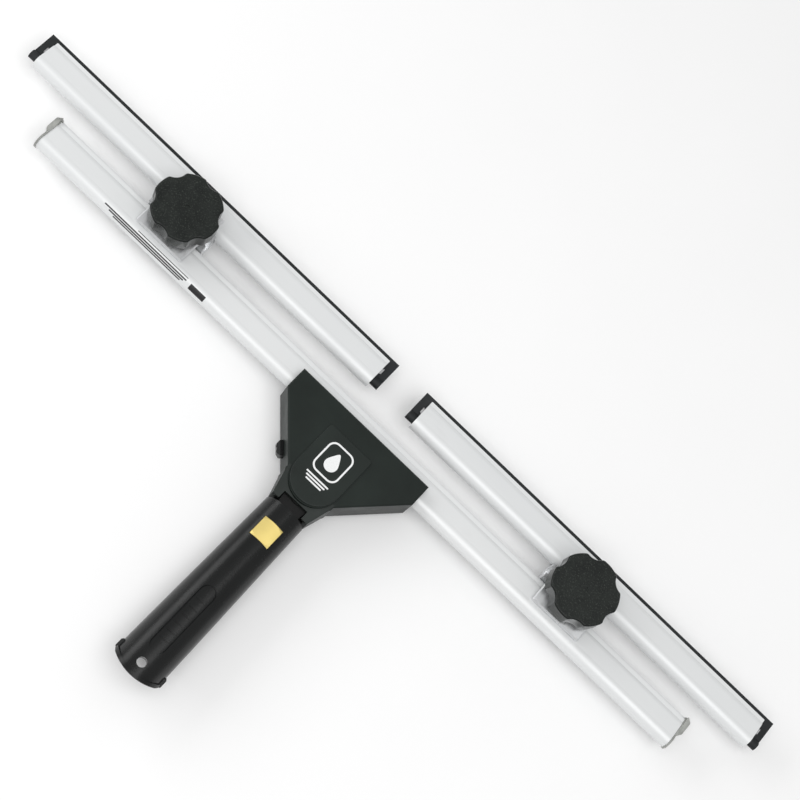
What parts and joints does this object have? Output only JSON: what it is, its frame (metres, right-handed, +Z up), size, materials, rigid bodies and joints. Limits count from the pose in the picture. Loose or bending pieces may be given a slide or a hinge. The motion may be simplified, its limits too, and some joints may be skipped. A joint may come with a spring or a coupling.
{
  "type": "window cleaning squeegee",
  "caption": "Window squeegee with a swivelling handle, a long main channel and sliding rubber blades held by clamp carriages with star knobs.",
  "frame": {"origin": "centre of the bottom of the bounding box, on the plane the tool lies on", "axes": "+X along the channels towards the right blade, +Y from the handle towards the wiping edges, +Z up out of the face with the knobs"},
  "size_m": [0.7076, 0.293, 0.0465],
  "materials": {
    "head_plastic": "fine textured moulding",
    "hub_plastic": "smooth satin moulding",
    "handle_plastic": "fine grain, semi-gloss",
    "stem_plastic": "plain moulding",
    "button_brass": "brushed",
    "steel": "plain",
    "spring_steel": "drawn wire",
    "channel_coat": "extruded, smooth off-white coat",
    "cap_plastic": "cloudy",
    "carriage_aluminium": "bright machined",
    "knob_plastic": "fine textured top, glossy sides",
    "insert_brass": "turned",
    "rubber": "matt"
  },
  "bodies": {
    "head": {"head_top": "head_plastic", "head_bottom": "head_plastic", "head_screws": "steel", "hub_plate": "hub_plastic", "swivel_pin": "steel", "thrust_washer": "stem_plastic", "index_plate": "stem_plastic", "tab_spring": "spring_steel", "main_channel": "channel_coat", "end_cap_left": "cap_plastic", "end_cap_right": "cap_plastic", "cap_grub_screws": "steel"},
    "handle": {"handle_shell": "handle_plastic", "swivel_stem": "stem_plastic", "button_spring": "spring_steel"},
    "lock_button": {"lock_button": "button_brass"},
    "release_tab": {"release_tab": "handle_plastic"},
    "carriage_left": {"lower_jaw_left": "carriage_aluminium", "clamp_bolt_left": "steel", "top_plate_left": "carriage_aluminium"},
    "washer_left": {"knob_washer_left": "knob_plastic"},
    "knob_left": {"knob_left": "knob_plastic", "knob_insert_left": "insert_brass"},
    "blade_left": {"blade_channel_left": "channel_coat", "blade_rubber_left": "rubber", "rubber_clips_left": "spring_steel"},
    "carriage_right": {"lower_jaw_right": "carriage_aluminium", "clamp_bolt_right": "steel", "top_plate_right": "carriage_aluminium"},
    "washer_right": {"knob_washer_right": "knob_plastic"},
    "knob_right": {"knob_right": "knob_plastic", "knob_insert_right": "insert_brass"},
    "blade_right": {"blade_channel_right": "channel_coat", "blade_rubber_right": "rubber", "rubber_clips_right": "spring_steel"}
  },
  "joints": [
    {"name": "handle_swivel", "type": "hinge", "parent": "head", "child": "handle", "pos_m": [0, 0.027, 0.01925], "axis": [0, 0, 1], "range_deg": [-12, 12]},
    {"name": "lock_button_press", "type": "slide", "parent": "handle", "child": "lock_button", "axis": [0, 0, -1], "range_m": [0, 0.003], "stiffness_N_per_m": 400, "springref_m": -0.001},
    {"name": "release_tab_press", "type": "slide", "parent": "head", "child": "release_tab", "axis": [0.7367, 0.6762, 0], "range_m": [0, 0.0022], "stiffness_N_per_m": 400, "springref_m": -0.001},
    {"name": "carriage_slide_left", "type": "slide", "parent": "head", "child": "carriage_left", "axis": [-1, 0, 0], "range_m": [-0.005, 0.075]},
    {"name": "blade_slide_left", "type": "slide", "parent": "carriage_left", "child": "blade_left", "axis": [-1, 0, 0], "range_m": [-0.008, 0.1]},
    {"name": "knob_lift_left", "type": "slide", "parent": "carriage_left", "child": "washer_left", "axis": [0, 0, 1], "range_m": [0, 0.0019]},
    {"name": "knob_turn_left", "type": "hinge", "parent": "washer_left", "child": "knob_left", "pos_m": [-0.1945, 0.11105, 0.0355], "axis": [0, 0, 1], "range_deg": [0, 540]},
    {"name": "carriage_slide_right", "type": "slide", "parent": "head", "child": "carriage_right", "axis": [1, 0, 0], "range_m": [-0.005, 0.075]},
    {"name": "blade_slide_right", "type": "slide", "parent": "carriage_right", "child": "blade_right", "axis": [1, 0, 0], "range_m": [-0.008, 0.1]},
    {"name": "knob_lift_right", "type": "slide", "parent": "carriage_right", "child": "washer_right", "axis": [0, 0, 1], "range_m": [0, 0.0019]},
    {"name": "knob_turn_right", "type": "hinge", "parent": "washer_right", "child": "knob_right", "pos_m": [0.1863, 0.11105, 0.0355], "axis": [0, 0, 1], "range_deg": [0, 540]}
  ],
  "couplings": [
    {"joint": "knob_lift_left", "follows": "knob_turn_left", "m_per_rad": 0.00019894},
    {"joint": "knob_lift_right", "follows": "knob_turn_right", "m_per_rad": 0.00019894}
  ]
}
